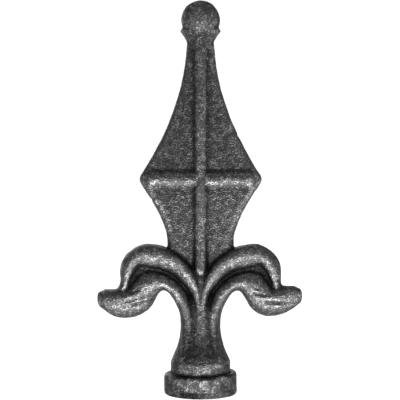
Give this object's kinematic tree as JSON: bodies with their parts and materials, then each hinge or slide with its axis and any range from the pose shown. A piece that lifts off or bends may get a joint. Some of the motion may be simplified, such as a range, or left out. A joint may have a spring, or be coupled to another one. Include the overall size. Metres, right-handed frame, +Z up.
{
  "type": "fence spike",
  "caption": "Cast fence spike: a flat spear blade with crossed ridges under a ball tip, over two curled leaves on a reeded stem with a round foot, to weld on a bar or post.",
  "frame": {"origin": "centre of the round flat underside, on the parting plane", "axes": "+Z up through the ball, +X along the width to the right leaf as seen from the front, Y from back to front face with the front at -Y"},
  "size_m": [0.0782, 0.0278, 0.15],
  "materials": {
    "cast_iron": "bare grey casting, sand-rough, with bright rubbed high places and dark hollows"
  },
  "bodies": {
    "root": {"spike_casting": "cast_iron"}
  },
  "joints": []
}
